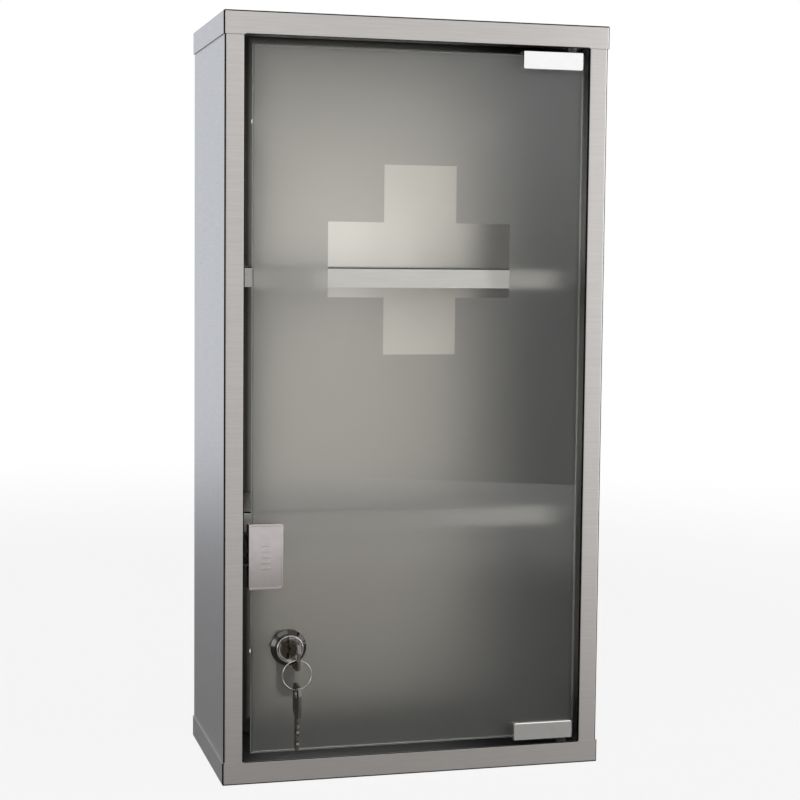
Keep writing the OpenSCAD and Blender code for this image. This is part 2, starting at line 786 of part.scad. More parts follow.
module pivot_bush() {
  translate([pivot_x, pivot_y, 0]) difference() {
    union() {
      translate([0, 0, bush_z0]) cylinder(r = bush_r, h = open_z0 + bush_flange_t - bush_z0);
      translate([0, 0, open_z0]) cylinder(r = bush_flange_r, h = bush_flange_t);
    }
    translate([0, 0, bush_z0 - past])
      cylinder(r = pin_r + pin_fit, h = open_z0 + bush_flange_t - bush_z0 + 2 * past);
  }
}

module bottom_pivot_bush() {
  color(dark_plastic) pivot_bush();
}

module top_pivot_bush() {
  color(dark_plastic) at_top() pivot_bush();
}

// Shelf of the bracket carries the latch, and its foot is welded to the side
module latch_bracket() {
  mid = bracket_t / 2;
  color(steel) difference() {
    translate([0, bracket_y + bracket_l / 2, 0]) rotate([90, 0, 0]) linear_extrude(bracket_l)
      polygon(folded_outline([
        [mid - wall_x, latch_z0 + bracket_foot_h],
        [mid - wall_x, latch_z0 - mid],
        [latch_x + latch_w / 2 + bracket_reach, latch_z0 - mid]
      ], bracket_t, bend_r));
    latch_screw_places() translate([0, 0, latch_z0 - bracket_t - past])
      cylinder(r = latch_screw_r + snug, h = bracket_t + 2 * past);
  }
}

module latch_screw_places() {
  for (y = [-latch_screw_pitch / 2, latch_screw_pitch / 2]) translate([latch_x, bracket_y + y, 0]) children();
}

module latch_housing() {
  color(nylon) difference() {
    translate([latch_x, 0, push_z]) plate_y(latch_y0, latch_y1)
      polygon(round_rect(-[latch_w, latch_h] / 2, [latch_w, latch_h] / 2, latch_corner_r * [1, 1, 1, 1]));
    translate([latch_x, 0, push_z]) {
      rod_y(rod_r + rod_fit, latch_y0 - past, chamber_y0 + past);
      rod_y(chamber_r, chamber_y0, latch_y1 + past);
    }
    latch_screw_places() translate([0, 0, latch_z0 - past])
      cylinder(r = latch_screw_r + snug, h = latch_screw_in + snug + past);
  }
}

// Turned in with a coin, by the slot across its end
module latch_end_plug() {
  slot = [5, 0.8, 1];
  color(dark_plastic) translate([latch_x, 0, push_z]) difference() {
    rod_y(chamber_r - snug, end_plug_y0, latch_y1);
    block([-slot[0] / 2, latch_y1 - slot[1], -slot[2] / 2], [slot[0] / 2, latch_y1 + past, slot[2] / 2]);
  }
}

module latch_screws() {
  socket_r = latch_screw_head_r * 0.45;
  head_z0 = latch_z0 - bracket_t - latch_screw_head_h;
  color(nickel) latch_screw_places() difference() {
    union() {
      translate([0, 0, head_z0]) cylinder(r = latch_screw_r, h = latch_z0 + latch_screw_in - head_z0);
      translate([0, 0, head_z0]) cylinder(r = latch_screw_head_r, h = latch_screw_head_h);
    }
    translate([0, 0, head_z0 - past]) cylinder(r = socket_r, h = latch_screw_head_h / 2 + past, $fn = 6);
  }
}

// Rod with the collar that the spring pushes on and a tail inside the spring
module latch_plunger() {
  tail_r = latch_spring_r - 3 * latch_wire_r;
  tail_l = latch_spring_l - latch_travel - latch_tail_gap;
  color(dark_plastic) translate([latch_x, 0, push_z]) {
    rod_y(rod_r, tip_y1, collar_y1);
    rod_y(collar_r, collar_y0, collar_y1);
    rod_y(tail_r, collar_y0, collar_y1 + tail_l);
  }
}

module latch_tip() {
  color(nickel) translate([latch_x, 0, push_z]) difference() {
    rod_y(tip_r, tip_y0, tip_y1);
    rod_y(magnet_r + snug, tip_y0 - past, tip_y0 + magnet_l + snug);
  }
}

module latch_magnet() {
  color(magnet_grey) translate([latch_x, 0, push_z]) rod_y(magnet_r, tip_y0, tip_y0 + magnet_l);
}

module latch_spring() {
  seat = 0.05;
  color(nickel) translate([latch_x, collar_y1 + seat, push_z]) rotate([-90, 0, 0])
    coil_spring(latch_spring_r, latch_wire_r, latch_spring_l - 2 * seat, latch_spring_turns, 14, 6);
}

// Plan outline of a plate of thickness b - a whose long edges are bevelled
function bevelled(lo, hi, c) = [
  [lo[0] + c, lo[1]], [hi[0] - c, lo[1]], [hi[0], lo[1] + c], [hi[0], hi[1] - c],
  [hi[0] - c, hi[1]], [lo[0] + c, hi[1]], [lo[0], hi[1] - c], [lo[0], lo[1] + c]
];

module door_glass() {
  color(frosted) difference() {
    intersection() {
      translate([0, 0, glass_z0]) linear_extrude(glass_z1 - glass_z0)
        polygon(bevelled([glass_x0, glass_y0], [glass_x1, glass_y1], glass_bevel));
      bar_x(glass_x0, glass_x1)
        polygon(bevelled([glass_y0, glass_z0], [glass_y1, glass_z1], glass_bevel));
    }
    translate([lock_x, 0, lock_z]) rod_y(barrel_r + glass_hole_gap, glass_y0 - past, glass_y1 + past);
  }
}

// Set screws stand half way up the leaf that holds the glass
module set_screw_places() {
  for (x = [-set_screw_pitch / 2, set_screw_pitch / 2])
    translate([(clip_x0 + clip_x1) / 2 + x, 0, (clip_z0 + clip_web_t + clip_z0 + clip_h) / 2]) children();
}

// Channel over the lower edge of the glass, at the hinged corner
module hinge_clip() {
  r = clip_edge_r;
  difference() {
    intersection() {
      bar_x(clip_x0, clip_x1)
        polygon(round_rect([clip_y0, clip_z0], [clip_y1, clip_z0 + clip_h], r * [1, 1, 1, 1]));
      plate_y(clip_y0, clip_y1) polygon(round_rect(
        [clip_x0, clip_z0], [clip_x1, clip_z0 + clip_h],
        [r, r, clip_corner_r, clip_corner_r]
      ));
    }
    block(
      [clip_x0 - past, liner_y0, clip_z0 + clip_web_t],
      [clip_x1 + past, liner_y1, clip_z0 + clip_h + past]
    );
    translate([pivot_x, pivot_y, clip_z0 - past]) cylinder(r = pin_r + snug, h = clip_web_t + 2 * past);
    set_screw_places() rod_y(set_screw_r + snug, liner_y1 - past, clip_y1 + past);
  }
}

module bottom_hinge_clip() {
  color(chrome) hinge_clip();
}

module top_hinge_clip() {
  color(chrome) at_top_clip() hinge_clip();
}

// Turns a piece of the lower clip into the one on the upper clip
module at_top_clip() {
  translate([0, 0, clip_z0 + clip_z1]) mirror([0, 0, 1]) children();
}

module clip_liner() {
  z0 = clip_z0 + clip_web_t;
  z1 = clip_z0 + clip_h - clip_edge_r;
  difference() {
    block([clip_x0 + clip_edge_r, liner_y0, z0], [clip_x1 - clip_edge_r, liner_y1, z1]);
    block([clip_x0 - past, glass_y0, z0 + liner_t], [clip_x1 + past, glass_y1, z1 + past]);
  }
}

module bottom_clip_liner() {
  color(nylon) clip_liner();
}

module top_clip_liner() {
  color(nylon) at_top_clip() clip_liner();
}

module clip_screws() {
  set_screw_places() difference() {
    rod_y(set_screw_r, liner_y1, clip_y1 + set_screw_proud);
    translate([0, clip_y1 - clip_rear_t / 2, 0]) rotate([-90, 0, 0])
      cylinder(r = set_screw_r / 2, h = clip_rear_t, $fn = 6);
  }
}

module bottom_clip_screws() {
  color(nickel) clip_screws();
}

module top_clip_screws() {
  color(nickel) at_top_clip() clip_screws();
}

module pivot_pin() {
  pin_z0 = bush_z0 + bush_end / 2;
  translate([pivot_x, pivot_y, pin_z0]) cylinder(r = pin_r, h = clip_z0 + clip_web_t - pin_z0);
}

module bottom_pivot_pin() {
  color(nickel) pivot_pin();
}

// The upper pin is longer by the play that lets the door be lifted in
module top_pivot_pin() {
  pin_z1 = casing_h - bush_z0 - bush_end / 2;
  color(nickel) translate([pivot_x, pivot_y, clip_z1 - clip_web_t])
    cylinder(r = pin_r, h = pin_z1 - clip_z1 + clip_web_t);
}

module pivot_washers() {
  color(dark_plastic) for (z = [clip_z0 - pivot_washer_t, clip_z1])
    translate([pivot_x, pivot_y, z]) difference() {
      cylinder(r = pivot_washer_r, h = pivot_washer_t);
      translate([0, 0, -past]) cylinder(r = pin_r + pin_fit, h = pivot_washer_t + 2 * past);
    }
}

// Steel plate folded round the free edge of the glass; its rear leaf is what
// the magnet holds
module push_plate() {
  lo = [push_x0, push_z0];
  hi = [push_x1, push_z0 + push_h];
  corners = [push_fold_r, push_corner_r, push_corner_r, push_fold_r];
  rim = [push_rim_w, push_rim_w];
  rim_corners = [for (r = corners) max(r - push_rim_w / 2, push_fold_r / 2)];
  rib = [push_rib_l, push_rib_w];
  first_rib = push_z - push_rib_pitch * (push_ribs_n - 1) / 2;
  color(chrome) {
    plate_y(push_y0, liner_y0) polygon(round_rect(lo, hi, corners));
    plate_y(push_y0 - push_rim_h, liner_y0) difference() {
      polygon(round_rect(lo, hi, corners));
      polygon(round_rect(lo + rim, hi - rim, rim_corners));
    }
    for (i = [0:push_ribs_n - 1]) translate([latch_x, 0, first_rib + i * push_rib_pitch])
      plate_y(push_y0 - push_rim_h, liner_y0)
        polygon(round_rect(-rib / 2, rib / 2, push_rib_w * 0.49 * [1, 1, 1, 1]));
    block(
      [push_x0, push_y0, push_z0 + push_fold_r],
      [push_x0 + push_web_t, push_y1, push_z0 + push_h - push_fold_r]
    );
    plate_y(liner_y1, push_y1) polygon(round_rect(lo, hi, corners));
  }
}

module push_plate_liner() {
  x0 = push_x0 + push_web_t;
  z0 = push_z0 + push_corner_r;
  z1 = push_z0 + push_h - push_corner_r;
  color(dark_plastic) difference() {
    block([x0, liner_y0, z0], [push_x1 - push_rim_w, liner_y1, z1]);
    block([x0 + liner_t, glass_y0, z0 - past], [push_x1 + past, glass_y1, z1 + past]);
  }
}

module at_lock() {
  translate([lock_x, 0, lock_z]) children();
}

// Ring round the head, with its outer front edge chamfered
module lock_trim_ring() {
  y1 = trim_y0 + trim_t;
  flat_r = min(barrel_head_r, trim_r - 2 * trim_lip) + trim_lip;
  color(chrome) at_lock() rotate([-90, 0, 0]) rotate_extrude() polygon([
    [barrel_r + shank_fit, trim_y0], [flat_r, trim_y0], [trim_r, y1 - trim_edge_t],
    [trim_r, y1], [barrel_r + shank_fit, y1]
  ]);
}

module lock_gasket() {
  color(dark_plastic) at_lock()
    ring_y(trim_r - gasket_inset, barrel_r + shank_fit, glass_y0 - gasket_t, glass_y0);
}

module lock_barrel() {
  c = barrel_chamfer;
  dish_y = face_y + barrel_dish;
  groove_h = plug_r + wafer_groove_d;
  color(chrome) at_lock() difference() {
    rotate([-90, 0, 0]) rotate_extrude() polygon([
      [0, dish_y], [barrel_head_r - barrel_rim_w - barrel_dish, dish_y],
      [barrel_head_r - barrel_rim_w, face_y], [barrel_head_r - c, face_y], [barrel_head_r, face_y + c],
      [barrel_head_r, trim_y0], [barrel_r, trim_y0], [barrel_r, barrel_y1], [0, barrel_y1]
    ]);
    rod_y(plug_r + plug_fit, face_y - past, barrel_y1 + past);
    rod_y(plug_head_r + plug_fit, face_y - past, face_y + plug_head_t + plug_fit);
    block(
      [-wafer_slot_w / 4, face_y + plug_head_t + past, -groove_h],
      [wafer_slot_w / 4, barrel_y1 + past, groove_h]
    );
  }
}

module lock_rear_washer() {
  color(dark_plastic) at_lock() ring_y(nut_af / 2 + rear_washer_over, barrel_r + shank_fit, glass_y1, nut_y0);
}

module lock_nut() {
  color(nickel) at_lock() hex_nut_y(nut_af, barrel_r + snug, nut_y0, nut_y1);
}

module wafer_places() {
  for (i = [0:wafers_n - 1]) translate([0, face_y + wafer_first + i * wafer_pitch, 0]) children();
}

// Plug with its keyway and wafer slots, and a flatted stud for the cam
module lock_plug() {
  color(nickel) at_lock() difference() {
    union() {
      rod_y(plug_head_r, face_y, face_y + plug_head_t);
      rod_y(plug_r, face_y, barrel_y1);
      intersection() {
        rod_y(stud_r, keyway_y1, stud_y1);
        block([-stud_af / 2, keyway_y1, -stud_r - past], [stud_af / 2, stud_y1, stud_r + past]);
      }
    }
    block([-keyway_w / 2, face_y - past, -keyway_h / 2], [keyway_w / 2, keyway_y1, keyway_h / 2]);
    wafer_places() block(
      [-wafer_slot_w / 2, -wafer_slot_t / 2, -plug_r - past],
      [wafer_slot_w / 2, wafer_slot_t / 2, plug_r + past]
    );
  }
}

// Each wafer has a window for the key and a notch for its spring
module lock_wafers() {
  color(brass) at_lock() wafer_places() difference() {
    block([-wafer_w / 2, -wafer_t / 2, -wafer_h / 2], [wafer_w / 2, wafer_t / 2, wafer_h / 2]);
    block([-keyway_w / 2, -wafer_t, -keyway_h / 2], [keyway_w / 2, wafer_t, keyway_h / 2]);
    block(
      [wafer_w / 2 - spring_pocket_w, -wafer_t, -spring_pocket_h / 2],
      [wafer_w / 2 + past, wafer_t, spring_pocket_h / 2]
    );
  }
}

module wafer_springs() {
  spring_r = min(spring_pocket_w, wafer_t) / 2 - 2 * wafer_wire_r;
  seat = 0.05;
  color(nickel) at_lock() wafer_places() translate([spring_pocket_x, 0, seat - spring_pocket_h / 2])
    coil_spring(spring_r, wafer_wire_r, spring_pocket_h - 2 * seat, wafer_spring_turns, 8, 4);
}

// Cam hangs down when the lock is open
module lock_cam() {
  r = cam_w / 2;
  color(nickel) at_lock() difference() {
    union() {
      rod_y(r + cam_boss, cam_y0, cam_y1);
      block([-r, cam_y0, r - cam_l], [r, cam_y1, 0]);
      translate([0, 0, r - cam_l]) rod_y(r, cam_y0, cam_y1);
    }
    intersection() {
      rod_y(stud_r + snug, cam_y0 - past, cam_y1 + past);
      block(
        [-stud_af / 2 - snug, cam_y0 - past, -stud_r - past],
        [stud_af / 2 + snug, cam_y1 + past, stud_r + past]
      );
    }
  }
}

module cam_washer() {
  color(nickel) at_lock() ring_y(cam_washer_r, stud_r + snug, cam_y1, cam_nut_y0);
}

module cam_nut() {
  color(nickel) at_lock() hex_nut_y(cam_nut_af, stud_r + snug, cam_nut_y0, cam_nut_y1);
}

// Outline of a key in (y, z): the hole is the origin and the blade runs to +Y
module key_outline() {
  bow_y0 = -bow_hole_end;
  bow_y1 = bow_y0 + bow_l;
  tip = bow_y1 + blade_l;
  point = blade_w / 3;
  notch_top = 0.5;
  notch_slope = 1.1;
  depths = [1.2, 0.6, 1.5, 0.9];
  difference() {
    union() {
      polygon(round_rect([bow_y0, -bow_w / 2], [bow_y1, bow_w / 2], bow_w / 3 * [1, 1, 1, 1]));
      polygon([
        [bow_y1 - past, -blade_w / 2], [tip - point, -blade_w / 2], [tip, -blade_w / 2 + point],
        [tip, blade_w / 2 - point], [tip - point, blade_w / 2], [bow_y1 - past, blade_w / 2]
      ]);
    }
    circle(r = bow_hole_r);
    for (i = [0:notch_n - 1])
      let (y = bow_y1 + notch_first + i * notch_pitch, z = -blade_w / 2, foot = notch_top + notch_slope,
           deep = depths[i % len(depths)])
      polygon([[y - foot, z - past], [y - foot, z], [y - notch_top, z + deep], [y + notch_top, z + deep],
        [y + foot, z], [y + foot, z - past]]);
  }
}

// Flat key with a groove milled along both sides of its blade
module key_blank() {
  groove_y = bow_l - bow_hole_end + groove_w;
  difference() {
    bar_x(-key_t / 2, key_t / 2) key_outline();
    for (side = [-1, 1]) translate([side * key_t / 2, 0, 0]) block(
      [-groove_d, groove_y, groove_off - groove_w / 2],
      [groove_d, groove_y + blade_l, groove_off + groove_w / 2]
    );
  }
}

module key() {
  color(chrome) translate([lock_x, bow_hole_y, lock_z]) key_blank();
}

// Split ring: two coils of wire side by side
module key_ring() {
  color(chrome) translate([lock_x, bow_hole_y, ring_mid_z]) rotate([90, 0, 0]) rotate_extrude($fn = 96)
    for (side = [-1, 1]) translate([ring_r, side * ring_coil]) circle(r = ring_wire_r, $fn = 24);
}

module spare_key() {
  color(chrome) translate([lock_x, bow_hole_y, spare_hole_z]) rotate([-90, 0, 0]) key_blank();
}

left_side_panel();
right_side_panel();
back_panel();
top_cap();
bottom_cap();
upper_shelf();
lower_shelf();
shelf_supports();
shelf_rivets();
panel_rivets();
cap_rivets();
top_pivot_plate();
bottom_pivot_plate();
top_pivot_bush();
bottom_pivot_bush();
latch_bracket();
latch_housing();
latch_end_plug();
latch_screws();
latch_plunger();
latch_tip();
latch_magnet();
latch_spring();
door_glass();
top_hinge_clip();
bottom_hinge_clip();
top_clip_liner();
bottom_clip_liner();
top_clip_screws();
bottom_clip_screws();
top_pivot_pin();
bottom_pivot_pin();
pivot_washers();
push_plate();
push_plate_liner();
lock_trim_ring();
lock_gasket();
lock_barrel();
lock_rear_washer();
lock_nut();
lock_plug();
lock_wafers();
wafer_springs();
lock_cam();
cam_washer();
cam_nut();
key();
key_ring();
spare_key();
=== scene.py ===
import math

import bmesh
import bpy
from mathutils import Matrix, Vector


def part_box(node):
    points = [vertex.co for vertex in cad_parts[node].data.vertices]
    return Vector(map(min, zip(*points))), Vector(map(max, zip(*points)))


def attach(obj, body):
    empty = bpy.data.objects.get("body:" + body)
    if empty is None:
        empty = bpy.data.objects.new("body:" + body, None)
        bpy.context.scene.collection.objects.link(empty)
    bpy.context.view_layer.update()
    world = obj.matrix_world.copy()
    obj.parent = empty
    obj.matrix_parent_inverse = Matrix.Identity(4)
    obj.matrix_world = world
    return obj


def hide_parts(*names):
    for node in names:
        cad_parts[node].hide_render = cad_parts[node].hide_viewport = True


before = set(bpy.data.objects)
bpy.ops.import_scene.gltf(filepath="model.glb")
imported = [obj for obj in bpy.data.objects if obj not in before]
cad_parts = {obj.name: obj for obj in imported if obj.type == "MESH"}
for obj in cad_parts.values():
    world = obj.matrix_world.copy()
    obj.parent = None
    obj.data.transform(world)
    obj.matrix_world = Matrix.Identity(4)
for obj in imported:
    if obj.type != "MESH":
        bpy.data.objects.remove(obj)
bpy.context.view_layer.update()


# Camera. It stands 1.45 m away, to the left of the door and level with the
# upper shelf, and leans half a degree.
EYE = (-0.37156, -1.40101, 0.39948)
TURNED, DOWN, LEANING = -15.062, 4.492, 0.562
camera = bpy.data.objects.new("camera", bpy.data.cameras.new("camera"))
camera.data.sensor_width = 36
camera.data.lens = 81.255
camera.matrix_world = (
    Matrix.Translation(EYE)
    @ Matrix.Rotation(math.radians(TURNED), 4, "Z")
    @ Matrix.Rotation(math.radians(90 - DOWN), 4, "X")
    @ Matrix.Rotation(math.radians(LEANING), 4, "Z")
)
bpy.context.scene.collection.objects.link(camera)
bpy.context.scene.camera = camera


# Room. It lights the cabinet evenly from all round, at a plain level, and
# looks white to the camera, in metal and through glass.
def add(tree, kind, sockets=None, **settings):
    """Adds a shader node. Settings are the node's own, and sockets hold values or what is linked."""
    made = tree.nodes.new("ShaderNode" + kind)
    for name, value in settings.items():
        setattr(made, name, value)
    for name, value in (sockets or {}).items():
        if isinstance(value, bpy.types.NodeSocket):
            tree.links.new(value, made.inputs[name])
        else:
            made.inputs[name].default_value = value
    return made


def colour(text):
    """An sRGB hex colour as the linear colour that a shader takes."""
    srgb = (int(text[i : i + 2], 16) / 255 for i in (1, 3, 5))
    return [c / 12.92 if c <= 0.04045 else ((c + 0.055) / 1.055) ** 2.4 for c in srgb] + [1]


def empty_tree(owner):
    """The node tree of a material or world, cleared."""
    owner.use_nodes = True
    owner.node_tree.nodes.clear()
    return owner.node_tree


def seen_ray(tree):
    """1 where a ray comes from the camera, a mirror or glass."""
    path = add(tree, "LightPath").outputs
    seen = path["Is Camera Ray"]
    for other in ("Is Glossy Ray", "Is Transmission Ray"):
        seen = add(tree, "Math", {0: seen, 1: path[other]}, operation="MAXIMUM").outputs[0]
    return seen


ROOM_LIGHT = 0.3
room = bpy.data.worlds.new("studio")
bpy.context.scene.world = room
bpy.context.scene.view_settings.view_transform = "Standard"
tree = empty_tree(room)
lit = add(tree, "Background", {"Color": colour("#ffffff"), "Strength": ROOM_LIGHT})
white = add(tree, "Background", {"Color": colour("#ffffff"), "Strength": 1})
mixed = add(tree, "MixShader", {0: seen_ray(tree), 1: lit.outputs[0], 2: white.outputs[0]})
add(tree, "OutputWorld", {"Surface": mixed.outputs[0]})


# Lamps. A large soft box on the right gives most of the light, a small one
# above on the left lifts the near edge of the door, and one stands behind.
CABINET_MIDDLE = (0, 0, 0.3)


def soft_box(name, place, aim, size, watts, tint):
    """A rectangular lamp that is turned to what it aims at."""
    lamp = bpy.data.lights.new(name, "AREA")
    lamp.color = colour(tint)[:3]
    lamp.shape = "RECTANGLE"
    lamp.size, lamp.size_y = size
    lamp.energy = watts
    box = bpy.data.objects.new(name, lamp)
    bpy.context.scene.collection.objects.link(box)
    turn = (Vector(aim) - Vector(place)).to_track_quat("-Z", "Y")
    box.matrix_world = Matrix.Translation(place) @ turn.to_matrix().to_4x4()


soft_box("key", (2.0, -1.38, 0.75), CABINET_MIDDLE, size=(2.4, 1.4), watts=26, tint="#fafcff")
soft_box("near", (-0.4, -0.95, 1.15), CABINET_MIDDLE, size=(0.8, 0.8), watts=3.2, tint="#fafcff")
soft_box("rear", (-1.2, 2.0, 1.6), (-0.3, 0.3, 0), size=(1.0, 1.0), watts=4, tint="#f4f8ff")


# Floor. A wide sheet of white paper under the cabinet. Near the cabinet it
# keeps a soft shadow, and further off it glows as white as the room.
def put(name, shape, finishes):
    """Puts a mesh into the scene as a new object."""
    mesh = bpy.data.meshes.new(name)
    shape.to_mesh(mesh)
    for finish in finishes:
        mesh.materials.append(finish)
    made = bpy.data.objects.new(name, mesh)
    bpy.context.scene.collection.objects.link(made)
    return made


def stage_sheet(name, finish, size, place, turn=Matrix.Identity(4)):
    """A flat square of the studio, size metres wide, which isn't part of the cabinet."""
    shape = bmesh.new()
    bmesh.ops.create_grid(shape, x_segments=8, y_segments=8, size=size / 2)
    sheet = put(name, shape, [finish])
    sheet.matrix_world = Matrix.Translation(place) @ turn
    return sheet


def fade_out(tree, near, far):
    """1 in the middle of a sheet, and down to 0 between two distances from it."""
    place = add(tree, "TexCoord").outputs["Object"]
    away = add(tree, "VectorMath", {0: place}, operation="LENGTH").outputs["Value"]
    limits = {0: away, 1: near, 2: far, 3: 1, 4: 0}
    return add(tree, "MapRange", limits, interpolation_type="SMOOTHSTEP").outputs[0]


# How white the camera sees the paper close by, where it also takes the shadow
WHITE_SHARE = 0.88
paper = bpy.data.materials.new("white backdrop paper")
tree = empty_tree(paper)
camera_ray = add(tree, "LightPath").outputs["Is Camera Ray"]
near_share = add(tree, "Math", {0: camera_ray, 1: WHITE_SHARE}, operation="MULTIPLY").outputs[0]
close_by = fade_out(tree, near=0.6, far=1.9)
share = add(tree, "Mix", {0: close_by, 2: seen_ray(tree), 3: near_share}).outputs[0]
matt = add(tree, "BsdfDiffuse", {"Color": colour("#cbc7c3")})
glow = add(tree, "Emission", {"Color": colour("#ffffff"), "Strength": 1})
mixed = add(tree, "MixShader", {0: share, 1: matt.outputs[0], 2: glow.outputs[0]})
add(tree, "OutputMaterial", {"Surface": mixed.outputs[0]})
stage_sheet("floor", paper, size=14, place=(-0.15, 0.35, -0.0002))


# Dark cloths. One hangs beside the camera and one to the right, and they are
# seen in reflections alone. They give the brushed steel its fall of tone.
def hide_from_view(sheet):
    """Leaves a sheet to be seen in reflections alone."""
    sheet.visible_camera = sheet.visible_diffuse = sheet.visible_shadow = sheet.visible_transmission = False


def reflected_sheet(name, finish, size, azimuth, away, height):
    """An upright sheet that faces the cabinet and is only seen in reflections."""
    turn = math.radians(azimuth)
    place = (away * math.sin(turn), -away * math.cos(turn), height)
    upright = Matrix.Rotation(turn, 4, "Z") @ Matrix.Rotation(math.pi / 2, 4, "X")
    hide_from_view(stage_sheet(name, finish, size, place, upright))


dark_cloth = bpy.data.materials.new("dark cloth")
tree = empty_tree(dark_cloth)
matt = add(tree, "BsdfDiffuse", {"Color": colour("#2a2a2a")})
add(tree, "OutputMaterial", {"Surface": matt.outputs[0]})
reflected_sheet("dark_left", dark_cloth, size=1.8, azimuth=-24, away=2.6, height=0.8)
reflected_sheet("dark_right", dark_cloth, size=1.8, azimuth=66, away=2.6, height=1.1)


# White card. It stands low on the left and puts the bright crescents in the
# lock and along the push plate. Polished glass doesn't mirror it.
CARD_LIGHT = 4.5
white_card = bpy.data.materials.new("white card")
tree = empty_tree(white_card)
bright = fade_out(tree, near=0.15, far=0.55)
mirrored = add(tree, "LightPath").outputs["Is Singular Ray"]
share = add(tree, "Math", {0: bright, 1: mirrored}, operation="SUBTRACT", use_clamp=True)
clear = add(tree, "BsdfTransparent")
glow = add(tree, "Emission", {"Color": colour("#ffffff"), "Strength": CARD_LIGHT})
mixed = add(tree, "MixShader", {0: share.outputs[0], 1: clear.outputs[0], 2: glow.outputs[0]})
add(tree, "OutputMaterial", {"Surface": mixed.outputs[0]})
reflected_sheet("white_card", white_card, size=1.1, azimuth=-58, away=1.5, height=0.35)


# Black cards, one upright and one on the floor. Only polished glass mirrors
# them, so the right and the foot of the door stay clear of bright veils.
black_card = bpy.data.materials.new("black card")
tree = empty_tree(black_card)
black = fade_out(tree, near=0.2, far=0.62)
mirrored = add(tree, "LightPath").outputs["Is Singular Ray"]
share = add(tree, "Math", {0: black, 1: mirrored}, operation="MULTIPLY")
clear = add(tree, "BsdfTransparent")
matt = add(tree, "BsdfDiffuse", {"Color": colour("#141414")})
mixed = add(tree, "MixShader", {0: share.outputs[0], 1: clear.outputs[0], 2: matt.outputs[0]})
add(tree, "OutputMaterial", {"Surface": mixed.outputs[0]})
reflected_sheet("upright_card", black_card, size=1.3, azimuth=26.6, away=1.9, height=0.1)
hide_from_view(stage_sheet("floor_card", black_card, size=1.3, place=(0.25, -0.55, 0.0005)))


# Side panels. Each is one piece of 0.8 mm stainless sheet, folded into a
# frame strip and a lip in front and a flange behind. It was brushed level by
# a belt outside, and inside it is painted a darker tone, as shade.
INSIDE = (-0.1497, -0.0738, 0.0005), (0.1497, 0.0729, 0.5795)
GRAIN_WIDTH, GRAIN_LENGTH = 0.0008, 0.03
GRAIN_THIN, GRAIN_THICK, GRAIN_SHADE = 0.3, 0.7, 0.9
ROUGHEST, SMOOTHEST = 0.37, 0.31
LEVEL_FACE = 0.7
BEND_STARTS, BEND_MIDDLE = 0.99, 0.95


def dress(finish, *names):
    """Gives a finish to CAD nodes."""
    for name in names:
        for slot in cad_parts[name].material_slots:
            slot.material = finish


def grain_coordinates(tree):
    """Object coordinates in grains, whose length lies level on walls and along X on tops."""
    place = add(tree, "TexCoord").outputs
    facing = add(tree, "SeparateXYZ", {0: place["Normal"]}).outputs["Z"]
    level = add(tree, "Math", {0: facing}, operation="ABSOLUTE").outputs[0]
    on_top = add(tree, "Math", {0: level, 1: LEVEL_FACE}, operation="GREATER_THAN").outputs[0]
    along, across = 1 / GRAIN_LENGTH, 1 / GRAIN_WIDTH
    wall = add(tree, "VectorMath", {0: place["Object"], 1: (along, along, across)}, operation="MULTIPLY")
    top = add(tree, "VectorMath", {0: place["Object"], 1: (along, across, along)}, operation="MULTIPLY")
    both = {"Factor": on_top, 4: wall.outputs[0], 5: top.outputs[0]}
    return add(tree, "Mix", both, data_type="VECTOR").outputs[1]


def depth_inside(tree, low, high, axes):
    """How far inside a box the surface lies, measured along the given axes."""
    place = add(tree, "TexCoord").outputs["Object"]
    middle = [(a + b) / 2 for a, b in zip(low, high)]
    half = [(b - a) / 2 for a, b in zip(low, high)]
    off = add(tree, "VectorMath", {0: place, 1: middle}, operation="SUBTRACT").outputs[0]
    off = add(tree, "VectorMath", {0: off}, operation="ABSOLUTE").outputs[0]
    depth = add(tree, "VectorMath", {0: half, 1: off}, operation="SUBTRACT").outputs[0]
    depths = add(tree, "SeparateXYZ", {0: depth}).outputs
    least = depths[axes[0]]
    for axis in axes[1:]:
        least = add(tree, "Math", {0: least, 1: depths[axis]}, operation="MINIMUM").outputs[0]
    return least


def flatness(tree):
    """1 on a flat face, and down to 0 on the round of a bend or an edge."""
    facing = add(tree, "TexCoord").outputs["Normal"]
    facing = add(tree, "VectorMath", {0: facing}, operation="ABSOLUTE").outputs[0]
    parts = add(tree, "SeparateXYZ", {0: facing}).outputs
    widest = add(tree, "Math", {0: parts[0], 1: parts[1]}, operation="MAXIMUM").outputs[0]
    widest = add(tree, "Math", {0: widest, 1: parts[2]}, operation="MAXIMUM").outputs[0]
    return add(tree, "MapRange", {0: widest, 1: BEND_MIDDLE, 2: BEND_STARTS, 3: 0, 4: 1}).outputs[0]


